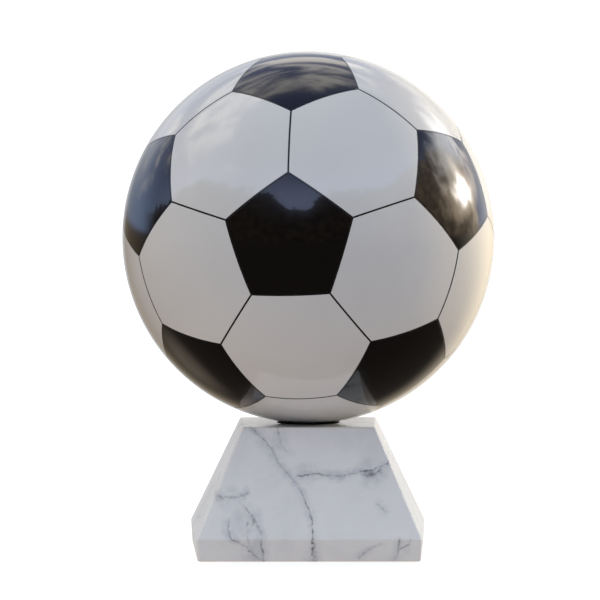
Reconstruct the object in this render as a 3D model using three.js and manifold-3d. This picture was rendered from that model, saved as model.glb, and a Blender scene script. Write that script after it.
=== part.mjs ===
// Football trophy: a full-size football of inlaid panels, tied down on a marble plinth.
// Millimetres, +Z up. The origin is the middle of the underside, and -Y is the front.
import * as THREE from 'three';
import { mergeVertices } from 'three/addons/utils/BufferGeometryUtils.js';
import Module from 'manifold-3d';

// ---- driving dimensions ----

const BALL_RADIUS = 110;
const PANEL_THICKNESS = 5;
const JOINT_WIDTH = 1.0; // gap between two panels
const FILLER_CLEARANCE = 0.05; // filler to panel, each side
const FILLER_SHORTFALL = 0.5; // filler stops this far above the backs of the panels
const PANEL_CORNER = 0.342; // place of a corner along the line between two black centres
const FRONT_AZIMUTH = -6.45; // front black panel, degrees towards +X from the front
const FRONT_ELEVATION = 2.3; // degrees above the ball's equator
const FRONT_SPIN = -1.39; // degrees clockwise, seen from the front

const PLINTH_TOP = 76.8; // height of the plinth's top face above the floor
const BAND_TOP = 13.4; // height at which the upright band gives way to the slopes
const BAND_FRONT = 131.6; // width of the front face at the top of the band
const BAND_BACK = 140.3; // the block splays a little towards the back
const BAND_DEPTH = 134.7;
const TOP_FRONT = 77.6;
const TOP_BACK = 80.8;
const TOP_DEPTH = 79.1;
const BAND_DRAFT = 0.8; // the band draws in this much on each side at the floor
const EDGE_BEVEL = 0.9;
const CORNER_ROUND = 2.2;

const BALL_SINK = 0.6; // the ball's lowest point lies this far below the plinth's top face
const SEAT_RADIUS = 18.5;
const SEAT_POCKET_DEPTH = 1.3;
const FELT_PROUD = 0.3;
const FELT_THICKNESS = 2.0;
const FELT_INSET = 4.5;
const ROD_RADIUS = 5; // M10 tie rod

// Clearance between two pieces that meet on a curved or turned face.
const GAP = 0.3;

// ---- the hidden parts ----

const CORE_WALL = 4;
const CORE_HOLE = 14; // radius of the hole at the bottom of the core, which the boss plugs
const RING_HEIGHT = 16;
const RING_WALL = 4;
const RING_BED = 1.5; // adhesive between the joining ring and the shells
const BOSS_BED = 1.0; // adhesive under the boss flange
const BOSS_FLANGE_RADIUS = 24;
const BOSS_FLANGE_THICKNESS = 6;
const BOSS_NECK_RADIUS = 15;
const BOSS_HEIGHT = 18;
const INSERT_RADIUS = 8;
const ROD_SHORT_OF_BOSS = 2;
const ROD_PAST_NUT = 3;
const ROD_CHAMFER = 0.8;
const PLINTH_BORE = 6;
const COUNTERBORE_RADIUS = 15;
const COUNTERBORE_TOP = 21;
const WASHER_RADIUS = 12.5;
const WASHER_THICKNESS = 2;
const LOCK_WASHER_RADIUS = 9;
const LOCK_WASHER_THICKNESS = 2.2;
const LOCK_WASHER_SPLIT = 1.5;
const NUT_ACROSS_FLATS = 16;
const NUT_THICKNESS = 8;
const GASKET_BORE = 8;
const GASKET_FIT = 0.1; // gasket to ball

// ---- sizes worked out from them ----

const BALL_CENTRE = PLINTH_TOP + BALL_RADIUS - BALL_SINK;
const PANEL_BACK = BALL_RADIUS - PANEL_THICKNESS;
const CORE_RADIUS = PANEL_BACK - GAP;
const CORE_INNER = CORE_RADIUS - CORE_WALL;
const ROD_BORE = ROD_RADIUS + GAP;
const FELT_TOP = FELT_THICKNESS;
const FELT_RECESS_TOP = FELT_TOP + GAP;
// Heights in the boss, from the ball's centre.
const BOSS_BOTTOM = BOSS_BED - Math.sqrt(PANEL_BACK ** 2 - CORE_HOLE ** 2) - GAP;
const BOSS_SEAT = BOSS_BED - Math.sqrt(CORE_INNER ** 2 - BOSS_FLANGE_RADIUS ** 2);
const BOSS_TOP = BOSS_SEAT + BOSS_HEIGHT;

const COLOURS = {
  white: { color: 0xe9e8e6, roughness: 0.12, metalness: 0 },
  black: { color: 0x120f0e, roughness: 0.1, metalness: 0 },
  joint: { color: 0x0a0908, roughness: 0.45, metalness: 0 },
  marble: { color: 0xc9cacd, roughness: 0.25, metalness: 0 },
  resin: { color: 0xa8a08f, roughness: 0.6, metalness: 0 },
  rubber: { color: 0x151515, roughness: 0.75, metalness: 0 },
  steel: { color: 0x9a9da1, roughness: 0.35, metalness: 1 },
  brass: { color: 0xb58c3c, roughness: 0.35, metalness: 1 },
  felt: { color: 0x1d1f22, roughness: 0.95, metalness: 0 },
};

const ROUND_STEPS = 32;
const SHELL_STEPS = 24;
const ARC_STEPS = 7;
const GASKET_STEPS = 4;
const CORNER_STEPS = 4;
const PANEL_STEPS = 4; // divisions along each side of a panel

const wasm = await Module();
wasm.setup();

// ---- helpers ----

function named(name, geometry, look) {
  geometry.computeVertexNormals();
  const mesh = new THREE.Mesh(geometry, new THREE.MeshStandardMaterial(COLOURS[look]));
  mesh.name = name;
  return mesh;
}

// One welded geometry from a list of triangles, each of three Vector3.
function fromTriangles(triangles) {
  const geometry = new THREE.BufferGeometry().setFromPoints(triangles.flat());
  return mergeVertices(geometry);
}

function quad(triangles, a, b, c, d) {
  triangles.push([a, b, c], [a, c, d]);
}

function toManifold(geometry) {
  const bare = geometry.clone();
  bare.deleteAttribute('normal');
  bare.deleteAttribute('uv');
  const merged = mergeVertices(bare);
  const mesh = new wasm.Mesh({
    numProp: 3,
    vertProperties: new Float32Array(merged.attributes.position.array),
    triVerts: new Uint32Array(merged.index.array),
  });
  return new wasm.Manifold(mesh);
}

function cut(geometry, ...cutters) {
  let solid = toManifold(geometry);
  for (const cutter of cutters) {
    solid = solid.subtract(toManifold(cutter));
  }
  const mesh = solid.getMesh();
  const result = new THREE.BufferGeometry();
  result.setAttribute('position', new THREE.BufferAttribute(mesh.vertProperties, 3));
  result.setIndex(new THREE.BufferAttribute(mesh.triVerts, 1));
  return result;
}

// A turned body from [radius, height] points, listed upwards on the outside.
function turned(profile, steps = ROUND_STEPS) {
  const points = profile.map(([radius, height]) => new THREE.Vector2(radius, height));
  const geometry = new THREE.LatheGeometry(points, steps);
  geometry.rotateX(Math.PI / 2);
  return geometry;
}

function ring(inner, outer, bottom, top, steps = ROUND_STEPS) {
  return turned([[inner, bottom], [outer, bottom], [outer, top], [inner, top], [inner, bottom]], steps);
}

function rod(radius, bottom, top, chamfer = 0) {
  const profile = [[0, bottom], [radius - chamfer, bottom]];
  if (chamfer > 0) {
    profile.push([radius, bottom + chamfer], [radius, top - chamfer]);
  }
  profile.push([radius - chamfer, top], [0, top]);
  return turned(profile);
}

// [radius, height] points of an arc about the origin, from one height angle to another.
function arc(radius, fromAngle, toAngle, steps) {
  const points = [];
  for (let i = 0; i <= steps; i += 1) {
    const angle = THREE.MathUtils.lerp(fromAngle, toAngle, i / steps);
    points.push([radius * Math.cos(angle), radius * Math.sin(angle)]);
  }
  return points;
}

// ---- the ball's pattern: a cut icosahedron drawn on the sphere ----

// The twelve black centres, with one of them facing -Y and a neighbour above it.
function blackCentres() {
  const tilt = Math.atan((1 + Math.sqrt(5)) / 2);
  const solid = new THREE.IcosahedronGeometry(1, 0);
  solid.deleteAttribute('normal');
  solid.deleteAttribute('uv');
  const merged = mergeVertices(solid.rotateX(tilt));
  const position = merged.attributes.position;
  const centres = [];
  for (let i = 0; i < position.count; i += 1) {
    centres.push(new THREE.Vector3().fromBufferAttribute(position, i).normalize());
  }
  const faces = [];
  for (let i = 0; i < merged.index.count; i += 3) {
    faces.push([0, 1, 2].map((k) => merged.index.getX(i + k)));
  }
  return { centres, faces };
}

// Each panel as its corners' keys, anticlockwise seen from outside. Key 'a>b' is the corner
// on the way from black centre a to its neighbour b.
function panelOutlines({ faces }) {
  const following = Array.from({ length: 12 }, () => new Map());
  const white = [];
  for (const [a, b, c] of faces) {
    white.push([`${a}>${b}`, `${b}>${a}`, `${b}>${c}`, `${c}>${b}`, `${c}>${a}`, `${a}>${c}`]);
    following[a].set(b, c);
    following[b].set(c, a);
    following[c].set(a, b);
  }
  const black = following.map((next, centre) => {
    const outline = [];
    let neighbour = next.keys().next().value;
    while (outline.length < next.size) {
      outline.push(`${centre}>${neighbour}`);
      neighbour = next.get(neighbour);
    }
    return outline;
  });
  return { black, white };
}

function cornerPoints({ centres, faces }) {
  const corners = new Map();
  for (const face of faces) {
    for (const a of face) {
      for (const b of face.filter((other) => other !== a)) {
        const point = centres[a].clone().lerp(centres[b], PANEL_CORNER).normalize();
        corners.set(`${a}>${b}`, point);
      }
    }
  }
  return corners;
}

// Normals of the planes through the ball's centre and each side, pointing into the panel.
function sideNormals(outline) {
  return outline.map((corner, i) => {
    const following = outline[(i + 1) % outline.length];
    return corner.clone().cross(following).normalize();
  });
}

// Where two sides meet, once both are drawn in by the same margin, at a given radius.
function insetCorner(before, after, margin, radius) {
  const flat = before.clone().add(after).multiplyScalar(margin / (1 + before.dot(after)));
  const along = before.clone().cross(after).normalize();
  return flat.addScaledVector(along, Math.sqrt(radius ** 2 - flat.lengthSq()));
}

// A point between two inset corners, kept on the side's plane and at the radius.
function sidePoint(from, to, share, normal, margin, radius) {
  const point = from.clone().lerp(to, share).addScaledVector(normal, -margin);
  point.setLength(Math.sqrt(radius ** 2 - margin ** 2));
  return point.addScaledVector(normal, margin);
}

// One side of a panel as PANEL_STEPS + 1 points.
function sideRow(from, to, normal, margin, radius) {
  const row = [];
  for (let i = 0; i <= PANEL_STEPS; i += 1) {
    row.push(sidePoint(from, to, i / PANEL_STEPS, normal, margin, radius));
  }
  return row;
}

// The inset sides of a panel at one radius.
function insetSides(outline, margin, radius) {
  const normals = sideNormals(outline);
  const inset = outline.map((_, i) => {
    const before = normals[(i + outline.length - 1) % outline.length];
    return insetCorner(before, normals[i], margin, radius);
  });
  return inset.map((corner, i) => {
    return sideRow(corner, inset[(i + 1) % inset.length], normals[i], margin, radius);
  });
}

// The triangles of one sector, from the panel's middle out to one side.
function sectorTriangles(middle, row, radius, outward) {
  const rows = [[middle]];
  for (let k = 1; k <= PANEL_STEPS; k += 1) {
    rows.push(k === PANEL_STEPS ? row : innerRow(middle, row, k, radius));
  }
  const triangles = [];
  for (let k = 1; k <= PANEL_STEPS; k += 1) {
    for (let j = 0; j < k; j += 1) {
      triangles.push([rows[k - 1][j], rows[k][j], rows[k][j + 1]]);
      if (j < k - 1) {
        triangles.push([rows[k - 1][j], rows[k][j + 1], rows[k - 1][j + 1]]);
      }
    }
  }
  return outward ? triangles : triangles.map(([a, b, c]) => [a, c, b]);
}

// The k-th row of a sector's points, on the way from the middle to the side.
function innerRow(middle, row, k, radius) {
  const points = [];
  for (let j = 0; j <= k; j += 1) {
    const rim = row[0].clone().lerp(row[PANEL_STEPS], j / k);
    points.push(middle.clone().lerp(rim, k / PANEL_STEPS).setLength(radius));
  }
  return points;
}

// A panel: its curved face, its curved back and its sides, which stand square to the joint.
function panelGeometry(outline) {
  const margin = JOINT_WIDTH / 2;
  const middle = outline.reduce((sum, corner) => sum.add(corner), new THREE.Vector3()).normalize();
  const outer = insetSides(outline, margin, BALL_RADIUS);
  const inner = insetSides(outline, margin, PANEL_BACK);
  const outerMiddle = middle.clone().setLength(BALL_RADIUS);
  const innerMiddle = middle.clone().setLength(PANEL_BACK);
  const triangles = [];
  for (let side = 0; side < outline.length; side += 1) {
    triangles.push(...sectorTriangles(outerMiddle, outer[side], BALL_RADIUS, true));
    triangles.push(...sectorTriangles(innerMiddle, inner[side], PANEL_BACK, false));
    for (let i = 0; i < PANEL_STEPS; i += 1) {
      quad(triangles, inner[side][i], inner[side][i + 1], outer[side][i + 1], outer[side][i]);
    }
  }
  return fromTriangles(triangles);
}

// The black filler in the joints, one connected net of 90 bars and 60 knots.
function jointFiller(outlines, corners) {
  const margin = JOINT_WIDTH / 2 - FILLER_CLEARANCE;
  const innerRadius = PANEL_BACK + FILLER_SHORTFALL;
  const rows = new Map();
  const knots = new Map();
  for (const outline of outlines) {
    const points = outline.map((key) => corners.get(key));
    const outer = insetSides(points, margin, BALL_RADIUS);
    const inner = insetSides(points, margin, innerRadius);
    outline.forEach((key, side) => {
      const next = outline[(side + 1) % outline.length];
      rows.set(`${key} ${next}`, { outer: outer[side], inner: inner[side] });
      const knot = knots.get(key) ?? [];
      knot.push({ outer: outer[side][0], inner: inner[side][0] });
      knots.set(key, knot);
    });
  }
  const triangles = [];
  for (const [key, left] of rows) {
    const [from, to] = key.split(' ');
    if (from < to) {
      barTriangles(triangles, left, rows.get(`${to} ${from}`));
    }
  }
  for (const [key, knot] of knots) {
    knotTriangles(triangles, knot, corners.get(key));
  }
  return fromTriangles(triangles);
}

// A bar between a panel on its left and one on its right, whose row runs the other way.
function barTriangles(triangles, left, right) {
  const rightOuter = right.outer.toReversed();
  const rightInner = right.inner.toReversed();
  for (let i = 0; i < PANEL_STEPS; i += 1) {
    quad(triangles, rightOuter[i], rightOuter[i + 1], left.outer[i + 1], left.outer[i]);
    quad(triangles, left.inner[i], left.inner[i + 1], rightInner[i + 1], rightInner[i]);
    quad(triangles, left.inner[i + 1], left.inner[i], left.outer[i], left.outer[i + 1]);
    quad(triangles, rightInner[i], rightInner[i + 1], rightOuter[i + 1], rightOuter[i]);
  }
}

function knotTriangles(triangles, knot, corner) {
  const [a, b, c] = knot;
  const spread = b.outer.clone().sub(a.outer).cross(c.outer.clone().sub(a.outer));
  const [p, q, r] = spread.dot(corner) > 0 ? [a, b, c] : [a, c, b];
  triangles.push([p.outer, q.outer, r.outer], [p.inner, r.inner, q.inner]);
}

// ---- the ball ----

function ballTurn() {
  const degrees = THREE.MathUtils.degToRad;
  return new THREE.Euler(
    degrees(-FRONT_ELEVATION),
    degrees(FRONT_SPIN),
    degrees(FRONT_AZIMUTH),
    'ZXY',
  );
}

// Panels from top to bottom, so that number 01 of each colour is the highest.
function panelMeshes(kind, look, outlines, corners) {
  const turn = ballTurn();
  const panels = outlines.map((outline) => {
    const points = outline.map((key) => corners.get(key));
    const middle = points.reduce((sum, point) => sum.add(point), new THREE.Vector3());
    const height = middle.normalize().applyEuler(turn).z;
    return { points, height };
  });
  panels.sort((a, b) => b.height - a.height);
  return panels.map(({ points }, i) => {
    const isBottomPanel = look === 'white' && i === panels.length - 1;
    const solid = panelGeometry(points);
    const geometry = isBottomPanel ? cut(solid, rodBoreInBall(turn)) : solid;
    return named(`${kind}_${String(i + 1).padStart(2, '0')}`, geometry, look);
  });
}

// The upright bore for the tie rod, turned back into the ball's own frame.
function rodBoreInBall(turn) {
  const bore = rod(ROD_BORE, -BALL_RADIUS - PANEL_THICKNESS, -PANEL_BACK + PANEL_THICKNESS);
  const back = new THREE.Quaternion().setFromEuler(turn).invert();
  return bore.applyQuaternion(back);
}

function ballSkin() {
  const pattern = blackCentres();
  const corners = cornerPoints(pattern);
  const { black, white } = panelOutlines(pattern);
  const skin = new THREE.Group();
  skin.rotation.copy(ballTurn());
  skin.add(...panelMeshes('black_pentagon', 'black', black, corners));
  skin.add(...panelMeshes('white_hexagon', 'white', white, corners));
  skin.add(named('joint_filler', jointFiller([...black, ...white], corners), 'joint'));
  return skin;
}

// The core's two half shells, which meet at the ball's equator with a fine gap.
function coreShellUpper() {
  const pole = Math.PI / 2;
  const atEquator = (radius) => Math.asin(GAP / 2 / radius);
  const inner = arc(CORE_INNER, pole, atEquator(CORE_INNER), ARC_STEPS);
  const outer = arc(CORE_RADIUS, atEquator(CORE_RADIUS), pole, ARC_STEPS);
  inner[0] = [0, CORE_INNER];
  outer[ARC_STEPS] = [0, CORE_RADIUS];
  return turned([...inner, ...outer], SHELL_STEPS);
}

function coreShellLower() {
  const atHole = (radius) => -Math.acos(CORE_HOLE / radius);
  const atEquator = (radius) => -Math.asin(GAP / 2 / radius);
  const outer = arc(CORE_RADIUS, atHole(CORE_RADIUS), atEquator(CORE_RADIUS), ARC_STEPS);
  const inner = arc(CORE_INNER, atEquator(CORE_INNER), atHole(CORE_INNER), ARC_STEPS);
  return turned([...outer, ...inner, outer[0]], SHELL_STEPS);
}

// The ring bonded across the inside of the two half shells.
function joiningRing() {
  const outer = CORE_INNER - RING_BED;
  return ring(outer - RING_WALL, outer, -RING_HEIGHT / 2, RING_HEIGHT / 2, SHELL_STEPS);
}

// The boss plugs the hole in the lower shell, and its flange spreads the pull of the tie rod.
function anchorBoss() {
  const bore = INSERT_RADIUS + GAP;
  const plug = CORE_HOLE - GAP;
  const flangeTop = BOSS_SEAT + BOSS_FLANGE_THICKNESS;
  return turned([
    [bore, BOSS_BOTTOM],
    [plug, BOSS_BOTTOM],
    [plug, BOSS_SEAT],
    [BOSS_FLANGE_RADIUS, BOSS_SEAT],
    [BOSS_FLANGE_RADIUS, flangeTop],
    [BOSS_NECK_RADIUS, flangeTop],
    [BOSS_NECK_RADIUS, BOSS_TOP],
    [bore, BOSS_TOP],
    [bore, BOSS_BOTTOM],
  ]);
}

// ---- the tie between ball and plinth ----

// A split ring: a flat ring with a narrow gap on one side.
function lockWasher() {
  const halfGap = Math.asin(LOCK_WASHER_SPLIT / 2 / LOCK_WASHER_RADIUS);
  const shape = new THREE.Shape();
  shape.absarc(0, 0, LOCK_WASHER_RADIUS, halfGap, 2 * Math.PI - halfGap, false);
  shape.absarc(0, 0, ROD_BORE, 2 * Math.PI - halfGap, halfGap, true);
  const depth = LOCK_WASHER_THICKNESS;
  return new THREE.ExtrudeGeometry(shape, { depth, bevelEnabled: false, curveSegments: ROUND_STEPS });
}

function hexNut() {
  const shape = new THREE.Shape();
  const cornerRadius = NUT_ACROSS_FLATS / Math.sqrt(3);
  for (let side = 0; side < 6; side += 1) {
    const angle = (side * Math.PI) / 3;
    const corner = [cornerRadius * Math.cos(angle), cornerRadius * Math.sin(angle)];
    if (side === 0) {
      shape.moveTo(...corner);
    } else {
      shape.lineTo(...corner);
    }
  }
  shape.closePath();
  shape.holes.push(new THREE.Path().absarc(0, 0, ROD_BORE, 0, 2 * Math.PI, true));
  return new THREE.ExtrudeGeometry(shape, {
    depth: NUT_THICKNESS,
    bevelEnabled: false,
    curveSegments: ROUND_STEPS / 2,
  });
}

// The soft ring that the ball beds on. Its upper face follows the ball.
function seatGasket() {
  const bed = BALL_RADIUS + GASKET_FIT;
  const bottom = PLINTH_TOP - SEAT_POCKET_DEPTH + GAP;
  const face = arc(bed, -Math.acos(SEAT_RADIUS / bed), -Math.acos(GASKET_BORE / bed), GASKET_STEPS);
  const upper = face.map(([radius, height]) => [radius, height + BALL_CENTRE]);
  const start = [GASKET_BORE, bottom];
  return turned([start, [SEAT_RADIUS, bottom], ...upper, start]);
}

// ---- the plinth ----

// The block's outline at a height: widths at the front and the back, and the depth.
function blockSection(height, inset = 0) {
  const onSlope = height > BAND_TOP;
  const share = onSlope ? (height - BAND_TOP) / (PLINTH_TOP - BAND_TOP) : 1 - height / BAND_TOP;
  const draft = 2 * BAND_DRAFT;
  const size = (atBand, atTop) => {
    return THREE.MathUtils.lerp(atBand, onSlope ? atTop : atBand - draft, share) - 2 * inset;
  };
  return {
    height,
    front: size(BAND_FRONT, TOP_FRONT),
    back: size(BAND_BACK, TOP_BACK),
    depth: size(BAND_DEPTH, TOP_DEPTH),
  };
}

// The outline's points, anticlockwise from above, with rounded corners.
function outlinePoints({ height, front, back, depth }) {
  const corners = [
    [-front / 2, -depth / 2],
    [front / 2, -depth / 2],
    [back / 2, depth / 2],
    [-back / 2, depth / 2],
  ].map(([x, y]) => new THREE.Vector2(x, y));
  const points = [];
  corners.forEach((corner, i) => {
    const before = corners[(i + 3) % 4];
    const after = corners[(i + 1) % 4];
    const start = before.clone().sub(corner).setLength(CORNER_ROUND).add(corner);
    const end = after.clone().sub(corner).setLength(CORNER_ROUND).add(corner);
    points.push(...new THREE.QuadraticBezierCurve(start, corner, end).getPoints(CORNER_STEPS));
  });
  return points.map(({ x, y }) => new THREE.Vector3(x, y, height));
}

// A solid through a stack of outlines, lowest first.
function loft(sections) {
  const rings = sections.map(outlinePoints);
  const count = rings[0].length;
  const triangles = [];
  for (let level = 1; level < rings.length; level += 1) {
    for (let i = 0; i < count; i += 1) {
      const next = (i + 1) % count;
      quad(triangles, rings[level - 1][i], rings[level - 1][next], rings[level][next], rings[level][i]);
    }
  }
  const top = rings[rings.length - 1];
  const bottom = rings[0];
  for (let i = 1; i < count - 1; i += 1) {
    triangles.push([top[0], top[i], top[i + 1]], [bottom[0], bottom[i + 1], bottom[i]]);
  }
  return fromTriangles(triangles);
}

function plinthBlock() {
  const block = loft([
    blockSection(FELT_PROUD, EDGE_BEVEL),
    blockSection(FELT_PROUD + EDGE_BEVEL),
    blockSection(BAND_TOP - EDGE_BEVEL),
    blockSection(BAND_TOP + EDGE_BEVEL),
    blockSection(PLINTH_TOP - EDGE_BEVEL),
    blockSection(PLINTH_TOP, EDGE_BEVEL),
  ]);
  const feltRecess = loft([
    { ...blockSection(0, FELT_INSET - GAP), height: -FELT_THICKNESS },
    { ...blockSection(0, FELT_INSET - GAP), height: FELT_RECESS_TOP },
  ]);
  const counterbore = rod(COUNTERBORE_RADIUS, 0, COUNTERBORE_TOP);
  const bore = rod(PLINTH_BORE, 0, PLINTH_TOP);
  const pocketFloor = PLINTH_TOP - SEAT_POCKET_DEPTH;
  const pocket = rod(SEAT_RADIUS + GAP, pocketFloor, PLINTH_TOP + SEAT_POCKET_DEPTH);
  return cut(block, feltRecess, counterbore, bore, pocket);
}

function baseFelt() {
  const outline = blockSection(0, FELT_INSET);
  return loft([outline, { ...outline, height: FELT_TOP }]);
}

// ---- assembly ----

function raised(mesh, height) {
  mesh.position.z = height;
  return mesh;
}

function ballAssembly() {
  const ball = new THREE.Group();
  ball.position.z = BALL_CENTRE;
  ball.add(ballSkin());
  ball.add(named('core_shell_upper', coreShellUpper(), 'resin'));
  ball.add(named('core_shell_lower', coreShellLower(), 'resin'));
  ball.add(named('core_joining_ring', joiningRing(), 'resin'));
  ball.add(named('anchor_boss', anchorBoss(), 'resin'));
  const insert = ring(ROD_BORE, INSERT_RADIUS, BOSS_BOTTOM, BOSS_TOP);
  ball.add(named('threaded_insert', insert, 'brass'));
  return ball;
}

function tieAssembly() {
  const tie = new THREE.Group();
  const rodTop = BALL_CENTRE + BOSS_TOP - ROD_SHORT_OF_BOSS;
  const washerBottom = COUNTERBORE_TOP - GAP - WASHER_THICKNESS;
  const lockWasherBottom = washerBottom - GAP - LOCK_WASHER_THICKNESS;
  const nutBottom = lockWasherBottom - GAP - NUT_THICKNESS;
  const washer = ring(ROD_BORE, WASHER_RADIUS, 0, WASHER_THICKNESS);
  tie.add(named('tie_rod', rod(ROD_RADIUS, nutBottom - ROD_PAST_NUT, rodTop, ROD_CHAMFER), 'steel'));
  tie.add(raised(named('clamp_washer', washer, 'steel'), washerBottom));
  tie.add(raised(named('lock_washer', lockWasher(), 'steel'), lockWasherBottom));
  tie.add(raised(named('tie_nut', hexNut(), 'steel'), nutBottom));
  return tie;
}

const trophy = new THREE.Group();
trophy.add(ballAssembly());
trophy.add(tieAssembly());
trophy.add(named('seat_gasket', seatGasket(), 'rubber'));
trophy.add(named('marble_plinth', plinthBlock(), 'marble'));
trophy.add(named('base_felt', baseFelt(), 'felt'));

export default trophy;
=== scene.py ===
"""Football trophy: a lacquered football of inlaid panels on a veined marble plinth.

Metres, +Z up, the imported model's own frame. -Y is the front of the trophy.
"""

import itertools
import math

import bpy
import numpy as np
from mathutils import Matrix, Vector


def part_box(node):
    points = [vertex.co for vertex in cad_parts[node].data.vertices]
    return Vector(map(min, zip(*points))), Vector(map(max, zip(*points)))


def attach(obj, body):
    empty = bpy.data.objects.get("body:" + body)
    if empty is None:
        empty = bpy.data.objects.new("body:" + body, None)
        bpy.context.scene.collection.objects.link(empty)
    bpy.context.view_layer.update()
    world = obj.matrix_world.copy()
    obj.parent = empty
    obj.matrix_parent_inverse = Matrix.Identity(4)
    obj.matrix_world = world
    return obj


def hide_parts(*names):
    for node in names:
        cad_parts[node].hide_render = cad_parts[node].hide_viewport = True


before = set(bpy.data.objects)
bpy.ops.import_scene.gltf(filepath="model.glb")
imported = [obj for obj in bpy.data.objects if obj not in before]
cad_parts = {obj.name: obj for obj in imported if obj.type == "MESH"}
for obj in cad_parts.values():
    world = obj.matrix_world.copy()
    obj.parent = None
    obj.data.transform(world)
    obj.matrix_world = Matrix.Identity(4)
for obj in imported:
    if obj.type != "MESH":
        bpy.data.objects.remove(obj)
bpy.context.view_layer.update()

MM = 0.001
MM_PER_M = 1000
BODY = "root"

# ---- sizes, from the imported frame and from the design's driving dimensions ----

PLINTH_LOW, PLINTH_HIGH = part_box("marble_plinth")
FELT_LOW, FELT_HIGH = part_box("base_felt")
GASKET_LOW, GASKET_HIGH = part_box("seat_gasket")
PLINTH_TOP = PLINTH_HIGH.z

BALL_SINK = 0.6 * MM
DESIGN_RADIUS = 110 * MM
BALL_CENTRE = Vector((0, 0, PLINTH_TOP + DESIGN_RADIUS - BALL_SINK))
PANEL_THICKNESS = 5 * MM
JOINT_WIDTH = 1.0 * MM
PANEL_CORNER = 0.342  # place of a corner along the line between two black middles
NEIGHBOUR_COSINES = (0.3, 0.6)  # bounds for the cosine between neighbouring black middles
EDGE_ROUND = 0.16 * MM  # eased edge of a panel
FILLER_DEPTH = 0.05 * MM  # filler below the panels' faces
FILLER_CLEARANCE = 0.01 * MM
FILLER_HEIGHT = 4.5 * MM
ROD_BORE = 5.3 * MM  # radius
ON_FACE = 0.001 * MM  # how near to the ball's face a point lies to count as on it

BLACK_NODES = [f"black_pentagon_{i:02d}" for i in range(1, 13)]
WHITE_NODES = [f"white_hexagon_{i:02d}" for i in range(1, 21)]

PANEL_STEPS = 16  # divisions along each side of a panel
EDGE_STEPS = 3


def panel_box():
    boxes = [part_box(name) for name in BLACK_NODES + WHITE_NODES]
    low = Vector([min(box[0][axis] for box in boxes) for axis in range(3)])
    high = Vector([max(box[1][axis] for box in boxes) for axis in range(3)])
    return low, high


def ball_radius():
    """The largest round ball inside the CAD ball's box."""
    low, high = panel_box()
    return min(-low.x, high.x, -low.y, high.y, high.z - BALL_CENTRE.z)


BALL_RADIUS = ball_radius()
PANEL_BACK = BALL_RADIUS - PANEL_THICKNESS

# ---- the panel pattern, read off the CAD panels ----


def unit(vector):
    return vector / np.linalg.norm(vector)


def node_direction(name):
    """From the ball's centre to the middle of a CAD panel."""
    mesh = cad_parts[name].data
    points = np.array([vertex.co for vertex in mesh.vertices]) - np.array(BALL_CENTRE)
    directions = points / np.linalg.norm(points, axis=1, keepdims=True)
    return unit(directions.mean(axis=0))


def around(middle, directions):
    """Directions in anticlockwise order about a middle, seen from outside."""
    aslant = (0.123, 0.456, 0.789)  # along no panel's middle
    east = unit(np.cross(aslant, middle))
    north = np.cross(middle, east)
    return sorted(directions, key=lambda d: math.atan2(d @ north, d @ east))


def corner_point(black, neighbour):
    return unit(black + PANEL_CORNER * (neighbour - black))


def panel_outlines():
    """{node: its corners as unit vectors, anticlockwise from outside}."""
    lowest, highest = NEIGHBOUR_COSINES
    middles = [node_direction(name) for name in BLACK_NODES]
    outlines = {}
    for name, middle in zip(BLACK_NODES, middles):
        near = [other for other in middles if lowest < other @ middle < highest]
        corners = [corner_point(middle, other) for other in near]
        outlines[name] = around(middle, corners)
    white_directions = {name: node_direction(name) for name in WHITE_NODES}
    for trio in itertools.combinations(middles, 3):
        if min(a @ b for a, b in itertools.combinations(trio, 2)) < lowest:
            continue
        middle = unit(sum(trio))
        name = max(WHITE_NODES, key=lambda node: white_directions[node] @ middle)
        corners = [corner_point(a, b) for a, b in itertools.permutations(trio, 2)]
        outlines[name] = around(middle, corners)
    return outlines


# ---- panels ----


def side_normals(outline):
    """Normals of the planes through the centre and each side, pointing into the panel."""
    count = len(outline)
    return [unit(np.cross(outline[i], outline[(i + 1) % count])) for i in range(count)]


def inset_corner(before, after, margin, radius):
    flat = (before + after) * margin / (1 + before @ after)
    along = unit(np.cross(before, after))
    return flat + along * math.sqrt(radius**2 - flat @ flat)


def inset_side(start, end, normal, margin, radius):
    """Points from one inset corner to the next, without the last."""
    points = []
    for step in range(PANEL_STEPS):
        flat = start + (end - start) * step / PANEL_STEPS - normal * margin
        points.append(unit(flat) * math.sqrt(radius**2 - margin**2) + normal * margin)
    return points


def inset_ring(outline, margin, radius):
    """A panel's outline at a radius, moved in from its sides by a margin."""
    normals = side_normals(outline)
    corners = [
        inset_corner(normals[i - 1], normals[i], margin, radius)
        for i in range(len(outline))
    ]
    ring = []
    for i, normal in enumerate(normals):
        end = corners[(i + 1) % len(corners)]
        ring += inset_side(corners[i], end, normal, margin, radius)
    return ring


def face_rings(outline, margin, radius):
    """Rings of a curved face, from the middle point out to the rim."""
    middle = unit(sum(outline)) * radius
    rim = inset_ring(outline, margin, radius)
    corners = rim[::PANEL_STEPS]
    rings = [[middle]]
    for k in range(1, PANEL_STEPS):
        ring = []
        for i, corner in enumerate(corners):
            following = corners[(i + 1) % len(corners)]
            for j in range(k):
                edge = corner + (following - corner) * j / k
                ring.append(unit(middle + (edge - middle) * k / PANEL_STEPS) * radius)
        rings.append(ring)
    rings.append(rim)
    return rings


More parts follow.
